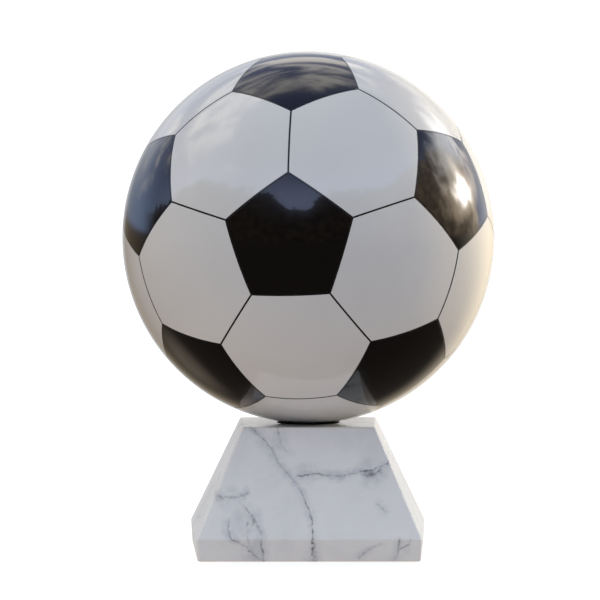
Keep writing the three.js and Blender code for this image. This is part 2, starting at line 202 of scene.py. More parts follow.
def face_triangles(rings, starts, sides, outward):
    """Triangles between the rings of a curved face."""
    triangles = []
    for k in range(1, len(rings)):
        inner_count = max(1, len(rings[k - 1]))
        outer_count = len(rings[k])
        for i in range(sides):
            for j in range(k):
                inner = starts[k - 1] + (i * (k - 1) + j) % inner_count
                outer = starts[k] + (i * k + j) % outer_count
                outer_next = starts[k] + (i * k + j + 1) % outer_count
                triangles.append((inner, outer, outer_next))
                if j < k - 1:
                    inner_next = starts[k - 1] + (i * (k - 1) + j + 1) % inner_count
                    triangles.append((inner, outer_next, inner_next))
    return triangles if outward else [(a, c, b) for a, b, c in triangles]


def panel_mesh(outline):
    """Vertices and faces of a panel with curved face and back, and eased edges."""
    margin = JOINT_WIDTH / 2
    sides = len(outline)
    vertices = []

    def add(points):
        start = len(vertices)
        vertices.extend(points)
        return start

    front = face_rings(outline, margin + EDGE_ROUND, BALL_RADIUS)
    front_starts = [add(ring) for ring in front]
    back = face_rings(outline, margin, PANEL_BACK)
    back_starts = [add(ring) for ring in back]
    bands = [front_starts[-1]]
    for step in range(1, EDGE_STEPS + 1):
        angle = math.pi / 2 * step / EDGE_STEPS
        ring_margin = margin + EDGE_ROUND * (1 - math.sin(angle))
        ring_radius = BALL_RADIUS - EDGE_ROUND * (1 - math.cos(angle))
        bands.append(add(inset_ring(outline, ring_margin, ring_radius)))
    bands.append(back_starts[-1])

    faces = face_triangles(front, front_starts, sides, True)
    faces += face_triangles(back, back_starts, sides, False)
    count = sides * PANEL_STEPS
    for upper, lower in zip(bands, bands[1:]):
        for i in range(count):
            following = (i + 1) % count
            faces.append((upper + i, lower + i, lower + following, upper + following))
    return vertices, faces


def to_object(name, vertices, faces, centre=(0, 0, 0)):
    mesh = bpy.data.meshes.new(name)
    points = [tuple(np.array(vertex) + np.array(centre)) for vertex in vertices]
    mesh.from_pydata(points, [], faces)
    mesh.update()
    mesh.shade_smooth()
    piece = bpy.data.objects.new(name, mesh)
    bpy.context.scene.collection.objects.link(piece)
    return piece


def radial_normals(piece, radius):
    """Gives the points on the ball's face the ball's true normals."""
    mesh = piece.data
    normals = []
    for vertex in mesh.vertices:
        arm = vertex.co - BALL_CENTRE
        on_face = abs(arm.length - radius) < ON_FACE
        normals.append(arm.normalized() if on_face else vertex.normal.copy())
    mesh.normals_split_custom_set_from_vertices(normals)


def settle(piece, material, slot, *nodes):
    """Gives a finished piece its material, its body and the CAD nodes it stands for."""
    piece.data.materials.clear()
    piece.data.materials.append(material)
    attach(piece, BODY)
    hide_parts(*nodes)


def cut_rod_bore(piece):
    """Cuts the tie rod's upright bore through the bottom panel."""
    low = BALL_CENTRE.z - DESIGN_RADIUS - PANEL_THICKNESS
    high = low + 3 * PANEL_THICKNESS
    cutter = turned("bore_cutter", [(0, low), (ROD_BORE, low), (ROD_BORE, high), (0, high)])
    modifier = piece.modifiers.new("bore", "BOOLEAN")
    modifier.operation = "DIFFERENCE"
    modifier.solver = "EXACT"
    modifier.object = cutter
    bpy.context.view_layer.update()
    graph = bpy.context.evaluated_depsgraph_get()
    cut = bpy.data.meshes.new_from_object(piece.evaluated_get(graph))
    piece.modifiers.clear()
    piece.data = cut
    bpy.data.objects.remove(cutter)


def make_panels(outlines, looks):
    for name, outline in outlines.items():
        vertices, faces = panel_mesh(outline)
        piece = to_object(f"{name}_panel", vertices, faces, BALL_CENTRE)
        if name == WHITE_NODES[-1]:
            cut_rod_bore(piece)
        radial_normals(piece, BALL_RADIUS)
        colour = "black" if name in BLACK_NODES else "white"
        settle(piece, looks[colour], f"{colour}_lacquer", name)


def make_filler(outlines, material):
    """The net in the joints: a bar along each side and a knot at each corner."""
    margin = JOINT_WIDTH / 2 - FILLER_CLEARANCE
    top = BALL_RADIUS - FILLER_DEPTH
    bottom = top - FILLER_HEIGHT
    vertices = []
    sides = {}
    knots = {}

    def key(corner):
        return tuple(np.round(corner, 4))

    for outline in outlines.values():
        outer = inset_ring(outline, margin, top)
        inner = inset_ring(outline, margin, bottom)
        start = len(vertices)
        vertices += outer + inner
        count = len(outer)
        for i, corner in enumerate(outline):
            following = outline[(i + 1) % len(outline)]
            run = [start + (i * PANEL_STEPS + j) % count for j in range(PANEL_STEPS + 1)]
            sides[key(corner), key(following)] = (run, count)
            knots.setdefault(key(corner), []).append((run[0], run[0] + count))

    faces = []
    for (a, b), (left, left_count) in sides.items():
        if a > b:
            continue
        right, right_count = sides[b, a]
        right = right[::-1]
        for i in range(PANEL_STEPS):
            l0, l1, r0, r1 = left[i], left[i + 1], right[i], right[i + 1]
            faces.append((r0, r1, l1, l0))
            faces.append((l0 + left_count, l1 + left_count, r1 + right_count, r0 + right_count))
            faces.append((l1 + left_count, l0 + left_count, l0, l1))
            faces.append((r0 + right_count, r1 + right_count, r1, r0))
    for corner, meeting in knots.items():
        outer = [vertices[pair[0]] for pair in meeting]
        spread = np.cross(outer[1] - outer[0], outer[2] - outer[0])
        order = meeting if spread @ np.array(corner) > 0 else meeting[::-1]
        faces.append(tuple(pair[0] for pair in order))
        faces.append(tuple(pair[1] for pair in order[::-1]))
    piece = to_object("joint_filler_net", vertices, faces, BALL_CENTRE)
    radial_normals(piece, top)
    settle(piece, material, "joint_black", "joint_filler")


# ---- turned and lofted pieces ----

TURN_STEPS = 96


def turned(name, profile):
    """A body turned about the Z axis from (radius, height) points, upwards on the outside."""
    closed = profile[0][0] > 0
    vertices = []
    rings = []
    for radius, height in profile:
        if radius == 0:
            rings.append([len(vertices)] * TURN_STEPS)
            vertices.append((0, 0, height))
            continue
        rings.append([len(vertices) + i for i in range(TURN_STEPS)])
        for i in range(TURN_STEPS):
            angle = 2 * math.pi * i / TURN_STEPS
            vertices.append((radius * math.cos(angle), radius * math.sin(angle), height))
    if closed:
        rings.append(rings[0])
    faces = []
    for lower, upper in zip(rings, rings[1:]):
        for i in range(TURN_STEPS):
            j = (i + 1) % TURN_STEPS
            corners = (lower[i], lower[j], upper[j], upper[i])
            faces.append(tuple(dict.fromkeys(corners)))
    return to_object(name, vertices, faces)


def soften(piece):
    """Smooth shading with true flats, and hard edges where faces meet at over 35 degrees."""
    piece.data.set_sharp_from_angle(angle=math.radians(35))
    modifier = piece.modifiers.new("flats", "WEIGHTED_NORMAL")
    modifier.keep_sharp = True
    modifier.weight = 100


def make_gasket(material):
    """The soft ring under the ball. Its rim slopes in, up to the ball. Its black and its reach also
    stand for the contact shade under the ball: partly a real seat, partly painted shade.
    """
    inner = 8 * MM
    outer = GASKET_HIGH.x
    bottom = GASKET_LOW.z
    lip = 0.35 * MM
    flare = 5 * MM
    above_plinth = 0.05 * MM
    bed = DESIGN_RADIUS + 0.1 * MM
    profile = [
        (inner, bottom),
        (outer - lip, bottom),
        (outer, bottom + lip),
        (outer, PLINTH_TOP + above_plinth),
    ]
    rim = outer - flare
    steps = 12
    for i in range(steps + 1):
        radius = rim + (inner - rim) * i / steps
        profile.append((radius, BALL_CENTRE.z - math.sqrt(bed**2 - radius**2)))
    piece = turned("seat_gasket_ring", profile)
    soften(piece)
    settle(piece, material, "gasket_rubber", "seat_gasket")


# The block, from the design. FRONT and BACK are widths.
BAND_TOP = 13.4 * MM
BAND_FRONT = 131.6 * MM
BAND_BACK = 140.3 * MM
BAND_DEPTH = 134.7 * MM
TOP_FRONT = 77.6 * MM
TOP_BACK = 80.8 * MM
TOP_DEPTH = 79.1 * MM
BAND_DRAFT = 0.8 * MM
ARRIS = 0.9 * MM
CORNER_ROUND = 2.2 * MM
FELT_RECESS_INSET = 4.2 * MM
FELT_RECESS_TOP = 2.3 * MM
COUNTERBORE_RADIUS = 15 * MM
COUNTERBORE_TOP = 21 * MM
PLINTH_BORE = 6 * MM  # radius
POCKET_RADIUS = 18.8 * MM
POCKET_FLOOR = PLINTH_TOP - 1.3 * MM
POCKET_EASE = 0.2 * MM
FELT_INSET = 4.5 * MM
FELT_EASE = 0.25 * MM
SIDE_STEPS = 10
CORNER_STEPS = 8
ARRIS_STEPS = 4


def mix(a, b, share):
    return a + (b - a) * share


def block_section(height, inset=0.0):
    """(front width, back width, depth) of the block at a height."""
    if height > BAND_TOP:
        share = (height - BAND_TOP) / (PLINTH_TOP - BAND_TOP)
        sizes = (
            mix(BAND_FRONT, TOP_FRONT, share),
            mix(BAND_BACK, TOP_BACK, share),
            mix(BAND_DEPTH, TOP_DEPTH, share),
        )
    else:
        draft = 2 * BAND_DRAFT * (1 - height / BAND_TOP)
        sizes = (BAND_FRONT - draft, BAND_BACK - draft, BAND_DEPTH - draft)
    return tuple(size - 2 * inset for size in sizes)


def block_ring(height, inset=0.0):
    """The block's outline at a height, anticlockwise from above."""
    front, back, depth = block_section(height, inset)
    corners = [
        Vector((-front / 2, -depth / 2, height)),
        Vector((front / 2, -depth / 2, height)),
        Vector((back / 2, depth / 2, height)),
        Vector((-back / 2, depth / 2, height)),
    ]
    points = []
    for i, here in enumerate(corners):
        before = corners[i - 1]
        after = corners[(i + 1) % 4]
        start = here + (before - here).normalized() * CORNER_ROUND
        end = here + (after - here).normalized() * CORNER_ROUND
        for j in range(CORNER_STEPS + 1):
            t = j / CORNER_STEPS
            points.append(start * (1 - t) ** 2 + here * 2 * t * (1 - t) + end * t**2)
        side_end = after + (here - after).normalized() * CORNER_ROUND
        for j in range(1, SIDE_STEPS):
            points.append(end.lerp(side_end, j / SIDE_STEPS))
    return points


def circle_ring(radius, height):
    """A circle with a point towards each point of the block's outline."""
    directions = [Vector((point.x, point.y, 0)).normalized() for point in block_ring(PLINTH_TOP)]
    return [direction * radius + Vector((0, 0, height)) for direction in directions]


def lofted(name, rings):
    """A closed body through rings of equal length, the last joined to the first."""
    count = len(rings[0])
    vertices = [point for ring in rings for point in ring]
    faces = []
    for level in range(len(rings)):
        lower = level * count
        upper = (level + 1) % len(rings) * count
        for i in range(count):
            j = (i + 1) % count
            faces.append((lower + i, lower + j, upper + j, upper + i))
    return to_object(name, vertices, faces)


def flattened(points, height):
    """The points moved upright to one height."""
    return [Vector((point.x, point.y, height)) for point in points]


def foot_arris():
    """Rings of the quarter-round arris at the foot of the band, upwards."""
    rings = []
    for step in range(ARRIS_STEPS + 1):
        angle = math.pi / 2 * step / ARRIS_STEPS
        height = PLINTH_LOW.z + ARRIS * (1 - math.cos(angle))
        rings.append(block_ring(height, ARRIS * (1 - math.sin(angle))))
    return rings


def top_arris():
    """Rings of the quarter-round arris around the top face, upwards."""
    rings = []
    for step in range(ARRIS_STEPS + 1):
        angle = math.pi / 2 * step / ARRIS_STEPS
        height = PLINTH_TOP - ARRIS * (1 - math.sin(angle))
        rings.append(block_ring(height, ARRIS * (1 - math.cos(angle))))
    return rings


def make_plinth(material):
    """The block: up its outside, across its top, down the bore, and out under its foot."""
    rings = foot_arris()
    for height in (3 * MM, 6 * MM, 9 * MM):
        rings.append(block_ring(height))
    for offset, eased in ((-0.9, 0), (-0.3, 0.04), (0.3, 0.04), (0.9, 0)):
        rings.append(block_ring(BAND_TOP + offset * MM, eased * MM))
    slope_steps = 12
    for step in range(1, slope_steps):
        rings.append(block_ring(mix(BAND_TOP, PLINTH_TOP - ARRIS, step / slope_steps)))
    rings += top_arris()
    for radius, height in (
        (POCKET_RADIUS + POCKET_EASE, PLINTH_TOP),
        (POCKET_RADIUS, PLINTH_TOP - POCKET_EASE),
        (POCKET_RADIUS, POCKET_FLOOR),
        (PLINTH_BORE, POCKET_FLOOR),
        (PLINTH_BORE, COUNTERBORE_TOP),
        (COUNTERBORE_RADIUS, COUNTERBORE_TOP),
        (COUNTERBORE_RADIUS, FELT_RECESS_TOP),
    ):
        rings.append(circle_ring(radius, height))
    recess = block_ring(0, FELT_RECESS_INSET)
    rings.append(flattened(recess, FELT_RECESS_TOP))
    rings.append(flattened(recess, PLINTH_LOW.z))
    piece = lofted("marble_plinth_block", rings)
    soften(piece)
    settle(piece, material, "marble", "marble_plinth")


def make_felt(material):
    """The felt under the block, with a slightly soft lower edge."""
    outline = block_ring(0, FELT_INSET)
    hub = circle_ring(2 * MM, 0)
    rings = [
        flattened(hub, FELT_LOW.z),
        flattened(block_ring(0, FELT_INSET + FELT_EASE), FELT_LOW.z),
        flattened(outline, FELT_LOW.z + FELT_EASE),
        flattened(outline, FELT_HIGH.z),
        flattened(hub, FELT_HIGH.z),
    ]
    count = len(hub)
    vertices = [point for ring in rings for point in ring]
    faces = []
    for level in range(len(rings) - 1):
        for i in range(count):
            j = (i + 1) % count
            lower = level * count
            upper = lower + count
            faces.append((lower + i, lower + j, upper + j, upper + i))
    faces.append(tuple(range(count))[::-1])
    faces.append(tuple(range(4 * count, 5 * count)))
    piece = to_object("base_felt_pad", vertices, faces)
    soften(piece)
    settle(piece, material, "base_felt", "base_felt")


# ---- materials ----


class Graph:
    """A node tree, with short calls to add and join nodes."""

    def __init__(self, tree, place):
        self.tree = tree
        self.place = self.add("ShaderNodeTexCoord").outputs[place]

    def add(self, kind, **settings):
        node = self.tree.nodes.new(kind)
        for key, value in settings.items():
            setattr(node, key, value)
        return node

    def join(self, source, target):
        self.tree.links.new(source, target)

    def put(self, socket, value):
        """Joins a socket to a socket, or sets a plain value."""
        if isinstance(value, bpy.types.NodeSocket):
            self.join(value, socket)
        else:
            socket.default_value = value

    def noise(self, scale, detail=3.0, roughness=0.5, distortion=0.0, place=None):
        """A noise value of about 0.3 to 0.7, finer with a higher scale."""
        return self.noise_node(scale, detail, roughness, distortion, place).outputs["Fac"]

    def noise_triple(self, scale, detail=3.0, roughness=0.5):
        """Three unlike noise values."""
        return self.split(self.noise_node(scale, detail, roughness, 0.0, None).outputs["Color"])

    def noise_node(self, scale, detail, roughness, distortion, place):
        node = self.add("ShaderNodeTexNoise")
        self.join(place or self.place, node.inputs["Vector"])
        node.inputs["Scale"].default_value = scale
        node.inputs["Detail"].default_value = detail
        node.inputs["Roughness"].default_value = roughness
        node.inputs["Distortion"].default_value = distortion
        return node

    def stretched(self, scale, shift=(0, 0, 0)):
        """The place coordinates with each axis scaled, then shifted."""
        node = self.add("ShaderNodeMapping")
        self.join(self.place, node.inputs["Vector"])
        node.inputs["Location"].default_value = shift
        node.inputs["Scale"].default_value = scale
        return node.outputs["Vector"]

    def ramp(self, value, *stops):
        """A colour ramp over (position, colour or grey) stops."""
        node = self.add("ShaderNodeValToRGB")
        self.put(node.inputs["Fac"], value)
        elements = node.color_ramp.elements
        while len(elements) < len(stops):
            elements.new(0.5)
        for element, (position, colour) in zip(elements, stops):
            element.position = position
            if isinstance(colour, (int, float)):
                colour = (colour, colour, colour)
            element.color = (*colour, 1)
        return node.outputs["Color"]

    def maths(self, operation, a, b=0.0, c=0.0):
        node = self.add("ShaderNodeMath", operation=operation)
        for socket, value in zip(node.inputs, (a, b, c)):
            self.put(socket, value)
        return node.outputs[0]

    def span(self, value, low, high, new_low, new_high, smooth=True):
        """Maps a value's range onto another, held at the ends."""
        node = self.add("ShaderNodeMapRange")
        node.interpolation_type = "SMOOTHSTEP" if smooth else "LINEAR"
        for name, number in (
            ("Value", value),
            ("From Min", low),
            ("From Max", high),
            ("To Min", new_low),
            ("To Max", new_high),
        ):
            self.put(node.inputs[name], number)
        return node.outputs["Result"]

    def blend(self, share, a, b, kind="MIX"):
        """The colour a where share is 0 and b where it is 1, or their product at 1."""
        node = self.add("ShaderNodeMix", data_type="RGBA", blend_type=kind)
        self.put(node.inputs["Factor"], share)
        for socket, value in ((node.inputs[6], a), (node.inputs[7], b)):
            if isinstance(value, tuple) and len(value) == 3:
                value = (*value, 1)
            self.put(socket, value)
        return node.outputs[2]

    def bump(self, height, distance):
        """A normal from a height of 0 to 1, over a distance in metres."""
        node = self.add("ShaderNodeBump")
        self.join(height, node.inputs["Height"])
        node.inputs["Distance"].default_value = distance
        node.inputs["Strength"].default_value = 1.0
        return node.outputs["Normal"]

    def split(self, vector):
        """The three parts of a vector or colour."""
        node = self.add("ShaderNodeSeparateXYZ")
        self.join(vector, node.inputs[0])
        return node.outputs

    def dot(self, a, b):
        node = self.add("ShaderNodeVectorMath", operation="DOT_PRODUCT")
        self.put(node.inputs[0], a)
        self.put(node.inputs[1], b)
        return node.outputs["Value"]

    def tinted(self, share, colour):
        """A colour times a varying share."""
        node = self.add("ShaderNodeVectorMath", operation="SCALE")
        node.inputs[0].default_value = colour
        self.put(node.inputs["Scale"], share)
        return node.outputs[0]

    def total(self, a, b):
        node = self.add("ShaderNodeVectorMath", operation="ADD")
        self.put(node.inputs[0], a)
        self.put(node.inputs[1], b)
        return node.outputs[0]

    def either(self, share, first, second):
        """A shader that is first where share is 0 and second where it is 1."""
        node = self.add("ShaderNodeMixShader")
        self.put(node.inputs[0], share)
        self.join(first, node.inputs[1])
        self.join(second, node.inputs[2])
        return node.outputs[0]


class Look(Graph):
    """A new material around one Principled shader."""

    def __init__(self, name):
        self.material = bpy.data.materials.new(name)
        self.material.use_nodes = True
        super().__init__(self.material.node_tree, "Object")
        self.shader = self.tree.nodes["Principled BSDF"]

    def set(self, **values):
        """Sets the shader's sockets by name, with _ for a space."""
        for name, value in values.items():
            self.put(self.shader.inputs[name.replace("_", " ")], value)


def lacquer(name, dark, light, speck, roughness):
    """Gloss lacquer over a flat colour: faint mottling, specks of dust and polishing marks."""
    graph = Look(name)
    mottle = graph.noise(14, detail=4)
    colour = graph.blend(graph.span(mottle, 0.35, 0.65, 0, 1), dark, light)
    dust = graph.span(graph.noise(900, detail=1), 0.76, 0.80, 0, 0.35)
    colour = graph.blend(dust, colour, speck)

    smears = graph.noise(30, detail=3)
    marks = graph.noise(260, detail=2, place=graph.stretched((1, 1, 0.04)))
    haze = graph.maths("MULTIPLY", graph.span(smears, 0.45, 0.7, 0, 1), marks)
    strokes = graph.noise(700, detail=3, roughness=0.7, place=graph.stretched((1, 1, 0.05)))
    polish = graph.bump(graph.maths("MULTIPLY", strokes, smears), 0.014 * MM)

    peel = graph.noise(420, detail=1)
    waves = graph.noise(60, detail=1)
    relief = graph.maths("MULTIPLY_ADD", waves, 6.0, peel)
    graph.set(
        Base_Color=colour,
        Roughness=graph.maths("MULTIPLY_ADD", haze, 0.05, roughness),
        Normal=graph.bump(relief, 0.0025 * MM),
        IOR=1.5,
        Coat_Weight=1.0,
        Coat_Roughness=0.03,
        Coat_IOR=1.5,
        Coat_Normal=polish,
    )
    return graph.material


def joint_look():
    graph = Look("joint_filler_black")
    grain = graph.noise(1500, detail=2)
    colour = graph.ramp(grain, (0.3, 0.006), (0.7, (0.016, 0.014, 0.013)))
    graph.set(
        Base_Color=colour,
        Roughness=graph.span(grain, 0.3, 0.7, 0.22, 0.4),
        Normal=graph.bump(grain, 0.01 * MM),
        Coat_Weight=0.6,
        Coat_Roughness=0.06,
    )
    return graph.material


def gasket_rubber_and_painted_shade_look():
    graph = Look("gasket_rubber_black_and_painted_shade")
    grain = graph.noise(2500, detail=2)
    graph.set(
        # Near-black rubber. This black also stands for the contact shade under the ball, so it is partly
        # a real seat and partly painted shade.
        Base_Color=graph.ramp(grain, (0.3, 0.008), (0.7, 0.02)),
        Roughness=graph.span(grain, 0.3, 0.7, 0.6, 0.8),
        Normal=graph.bump(grain, 0.02 * MM),
    )
    return graph.material


def felt_look():
    graph = Look("base_felt_charcoal")
    fibres = graph.noise(2200, detail=4, roughness=0.7, distortion=1.5)
    clumps = graph.noise(300, detail=2)
    tone = graph.blend(0.35, fibres, clumps)
    graph.set(
        Base_Color=graph.ramp(tone, (0.3, (0.010, 0.011, 0.012)), (0.7, (0.034, 0.036, 0.040))),
        Roughness=0.95,
        Normal=graph.bump(tone, 0.3 * MM),
        Sheen_Weight=0.4,
    )
    return graph.material


def resin_look():
    graph = Look("core_resin")
    grain = graph.noise(180, detail=4)
    graph.set(
        Base_Color=graph.ramp(grain, (0.3, (0.34, 0.30, 0.23)), (0.7, (0.44, 0.40, 0.32))),
        Roughness=graph.span(grain, 0.3, 0.7, 0.5, 0.7),
        Normal=graph.bump(grain, 0.2 * MM),
    )
    return graph.material


def metal_look(name, dark, light):
    graph = Look(name)
    turning = graph.noise(900, detail=2, place=graph.stretched((0.2, 0.2, 3)))
    graph.set(
        Base_Color=graph.ramp(turning, (0.3, dark), (0.7, light)),
        Metallic=1.0,
        Roughness=graph.span(turning, 0.3, 0.7, 0.28, 0.42),
        Normal=graph.bump(turning, 0.03 * MM),
    )
    return graph.material


# ---- the marble ----

# The veins on the block's front, in mm: (x, height) points. A vein goes on into the block, so
# it comes out on the other faces too.
RISING_VEINS = {  # points from the bottom up, with width and depth of tone
    "main": ([(3, -2), (3, 13), (1, 26), (-3, 36), (-9, 46), (-18, 57), (-23, 66), (-35, 78)], 0.5, 0.8),
    "main_top": ([(-18, 57), (-23, 66), (-35, 78)], 0.6, 1.0),
    "main_foot": ([(3, -2), (3, 13)], 1.3, 0.9),
    "upper_branch": ([(-11, 61), (-16, 66), (-18, 78)], 0.6, 0.35),
    "left_foot": ([(-27, -1), (-37, 8), (-44, 13), (-47, 24)], 0.55, 0.75),
    "left_foot_upright": ([(-26, -1), (-28, 12), (-29, 18), (-34, 27)], 0.5, 0.7),
    "left_foot_between": ([(-28, -1), (-36, 13), (-36, 24)], 0.45, 0.4),
    "left_spots": ([(-35, 19), (-33, 25), (-41, 34)], 0.8, 0.55),
    "right_foot": ([(50, 0), (52, 5), (53, 14)], 0.55, 0.6),
    "middle_foot": ([(30, 2), (36, 8), (42, 11)], 0.5, 0.55),
}
LEVEL_VEINS = {  # points from left to right
    "cross": ([(-8, 50), (2, 50), (18, 49), (28, 51), (37, 52), (48, 58)], 0.5, 1.0),
    "cross_knot": ([(32, 50), (37, 50), (42, 52)], 1.9, 0.75),
    "left": ([(-55, 38), (-46, 37), (-40, 38), (-36, 40)], 0.6, 0.9),
    "right_tick": ([(39, 33), (46, 29)], 0.5, 0.4),
    "right_foot_branch": ([(53, 8), (58, 10), (60, 13)], 0.5, 0.5),
}
CLOUDS = {  # centre, radius and depth of tone
    "by_main_top": ((-21, 70), 10, 0.55),
    "by_crossing": ((-2, 51), 8, 0.40),
    "by_knot": ((37, 51), 10, 0.60),
    "by_left": ((-46, 36), 8, 0.45),
    "by_left_spots": ((-36, 25), 10, 0.60),
    "by_left_foot": ((-32, 7), 9, 0.70),
    "by_main_foot": ((3, 6), 6, 0.65),
    "by_right_foot": ((54, 7), 6, 0.40),
}
UNSEEN_VEINS = {  # leaning sheets through the sides and back: normal, offset and depth of tone
    "right_rising": ((0.55, 0.62, -0.56), 14, 0.9),
    "left_rising": ((-0.75, 0.35, -0.56), 26, 0.8),
    "back_level": ((0.12, 0.30, 0.95), 58, 0.7),
    "low_corner": ((0.70, 0.60, 0.38), 74, 0.6),
    "left_falling": ((-0.50, -0.62, 0.60), 34, 0.5),
}
VEIN_REACH = 80  # how far to each side a vein's course may lie
VEIN_ENDS = 2  # length over which a vein fades in and out
SHEET_LINE = 1.1  # half width of an unseen vein's line
SHEET_HALO = 6  # and of the haze beside it


def vein(graph, along, across, points, width, depth):
    """(line, halo): how much of a vein shows at a place."""
    first, last = points[0][0], points[-1][0]
    course = graph.add("ShaderNodeFloatCurve")
    curve = course.mapping.curves[0]
    while len(curve.points) < len(points):
        curve.points.new(0.5, 0.5)
    for knot, (start, offset) in zip(curve.points, points):
        share = (start - first) / (last - first)
        knot.location = (share, (offset + VEIN_REACH) / (2 * VEIN_REACH))
    course.mapping.update()
    share = graph.span(along, first, last, 0, 1, smooth=False)
    graph.put(course.inputs["Value"], share)
    centre = graph.maths("MULTIPLY_ADD", course.outputs[0], 2 * VEIN_REACH, -VEIN_REACH)
    away = graph.maths("ABSOLUTE", graph.maths("SUBTRACT", across, centre))
    start = graph.span(along, first - VEIN_ENDS, first + VEIN_ENDS, 0, depth)
    end = graph.span(along, last - VEIN_ENDS, last + VEIN_ENDS, 1, 0)
    shown = graph.maths("MULTIPLY", start, end)
    line = graph.maths("MULTIPLY", graph.span(away, 0, width * 2, 1, 0), shown)
    halo = graph.maths("MULTIPLY", graph.span(away, 0, 4 + 3 * width, 1, 0), shown)
    return line, halo


def cloud_patch(graph, u, v, centre, radius, tone):
    """A soft round patch around a point of the vein space, for the haze to show in."""
    across = graph.maths("DIVIDE", graph.maths("SUBTRACT", u, centre[0]), radius)
    up = graph.maths("DIVIDE", graph.maths("SUBTRACT", v, centre[1]), radius)
    away = graph.maths("MULTIPLY_ADD", across, across, graph.maths("MULTIPLY", up, up))
    return graph.span(away, 0.1, 1.3, tone, 0)


def unseen_veins(graph, depth):
    """(lines, halos) of the sheets, which fade in behind the front face."""
    lines = []
    halos = []
    inside = graph.span(depth, 10 * MM, 35 * MM, 0, 1)
    wander = graph.noise(13, detail=6, roughness=0.55, distortion=0.3)
    wander = graph.span(wander, 0, 1, -22, 22, smooth=False)
    present = graph.noise(19, detail=2)
    for normal, offset, tone in UNSEEN_VEINS.values():
        across = graph.dot(graph.place, tuple(part * MM_PER_M for part in normal))
        away = graph.maths("ADD", graph.maths("SUBTRACT", across, offset), wander)
        away = graph.maths("ABSOLUTE", away)
        shown = graph.maths("MULTIPLY", graph.span(present, 0.40, 0.52, 0.15, tone), inside)
        lines.append(graph.maths("MULTIPLY", graph.span(away, 0, SHEET_LINE, 1, 0), shown))
        halos.append(graph.maths("MULTIPLY", graph.span(away, 0, SHEET_HALO, 1, 0), shown))
    return lines, halos


def strongest(graph, values):
    top = values[0]
    for value in values[1:]:
        top = graph.maths("MAXIMUM", top, value)
    return top


def vein_space(graph):
    """((x, height) in mm, depth): x and height lean with the depth behind the front face.

    They are slightly crumpled, too, so that straight courses come out as natural veins.
    """
    x, y, z = graph.split(graph.place)
    slope = (BAND_DEPTH - TOP_DEPTH) / 2 / (PLINTH_TOP - BAND_TOP)
    above_band = graph.maths("MAXIMUM", graph.maths("SUBTRACT", z, BAND_TOP), 0.0)
    front = graph.maths("MULTIPLY_ADD", above_band, slope, -BAND_DEPTH / 2)
    depth = graph.maths("MAXIMUM", graph.maths("SUBTRACT", y, front), 0.0)
    coarse = graph.noise_triple(45, detail=2)
    fine = graph.noise_triple(320, detail=3, roughness=0.6)
    results = []
    for axis, lean, index in ((x, 0.42, 0), (z, -0.20, 1)):
        value = graph.maths("MULTIPLY_ADD", depth, lean, axis)
        value = graph.maths("MULTIPLY", value, MM_PER_M)
        for waver, reach in ((coarse[index], 2.6), (fine[index], 1.6)):
            value = graph.maths("ADD", value, graph.span(waver, 0, 1, -reach, reach, smooth=False))
        results.append(value)
    return results, depth


def marble_look():
    """White marble: grey veins with bluish clouds along them, in a faintly clouded ground."""
    graph = Look("veined_marble")
    (u, v), depth = vein_space(graph)
    lines = []
    halos = []
    for points, width, tone in RISING_VEINS.values():
        heights = [(height, x) for x, height in points]
        line, halo = vein(graph, v, u, heights, width, tone)
        lines.append(line)
        halos.append(halo)
    for points, width, tone in LEVEL_VEINS.values():
        line, halo = vein(graph, u, v, points, width, tone)
        lines.append(line)
        halos.append(halo)

    for centre, radius, tone in CLOUDS.values():
        halos.append(cloud_patch(graph, u, v, centre, radius, tone))
    more_lines, more_halos = unseen_veins(graph, depth)
    lines += more_lines
    halos += more_halos

    cloud = graph.noise(24, detail=5, roughness=0.6, distortion=0.6)
    ground = graph.ramp(
        cloud,
        (0.32, (0.89, 0.875, 0.86)),
        (0.50, (0.955, 0.94, 0.91)),
        (0.68, (0.985, 0.97, 0.935)),
    )
    grain = graph.noise(1400, detail=2, roughness=0.7)
    ground = graph.blend(graph.span(grain, 0.35, 0.65, 0, 0.10), ground, (0.62, 0.62, 0.63))
    haze = graph.noise(130, detail=4, roughness=0.65)
    haze = graph.maths("MULTIPLY", strongest(graph, halos), graph.span(haze, 0.3, 0.7, 0.10, 0.72))
    colour = graph.blend(haze, ground, (0.47, 0.49, 0.54))
    patches = graph.span(graph.noise(95, detail=2), 0.36, 0.60, 0.35, 1)
    flecks = graph.span(graph.noise(420, detail=3, roughness=0.6), 0.36, 0.60, 0.15, 1)
    broken = graph.maths("MULTIPLY", patches, flecks)
    ink = graph.maths("MULTIPLY", strongest(graph, lines), broken)
    colour = graph.blend(ink, colour, (0.10, 0.10, 0.11))
    graph.set(
        Base_Color=colour,
        Roughness=0.16,
        Normal=graph.bump(grain, 0.004 * MM),
        IOR=1.5,
        Subsurface_Weight=0.12,
        Subsurface_Scale=2 * MM,
        Coat_Weight=0.3,
        Coat_Roughness=0.05,
    )
    return graph.material


# ---- hidden CAD parts keep their shapes and get finished materials ----


def dress_hidden_parts():
    looks = {
        "core_shell_upper": resin_look(),
        "threaded_insert": metal_look("insert_brass_turned", (0.46, 0.31, 0.10), (0.66, 0.47, 0.18)),
        "tie_rod": metal_look("zinc_plated_steel", (0.34, 0.35, 0.37), (0.55, 0.56, 0.57)),
    }
    for name in ("core_shell_lower", "core_joining_ring", "anchor_boss"):
        looks[name] = looks["core_shell_upper"]
    for name in ("clamp_washer", "lock_washer", "tie_nut"):
        looks[name] = looks["tie_rod"]
    for name, material in looks.items():
        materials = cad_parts[name].data.materials
        materials.clear()
        materials.append(material)


# ---- stage ----

# Angles are in degrees. Azimuth is 0 at the front and 90 on the right.
CAMERA_DISTANCE = 4.4  # from the ball's centre
CAMERA_AZIMUTH = -0.35
CAMERA_ELEVATION = 3.0
CAMERA_LENS = 446.9
CAMERA_DIP = 0.481  # the camera points this far below the ball's centre
CAMERA_TURN = 0.065  # and this far to its left

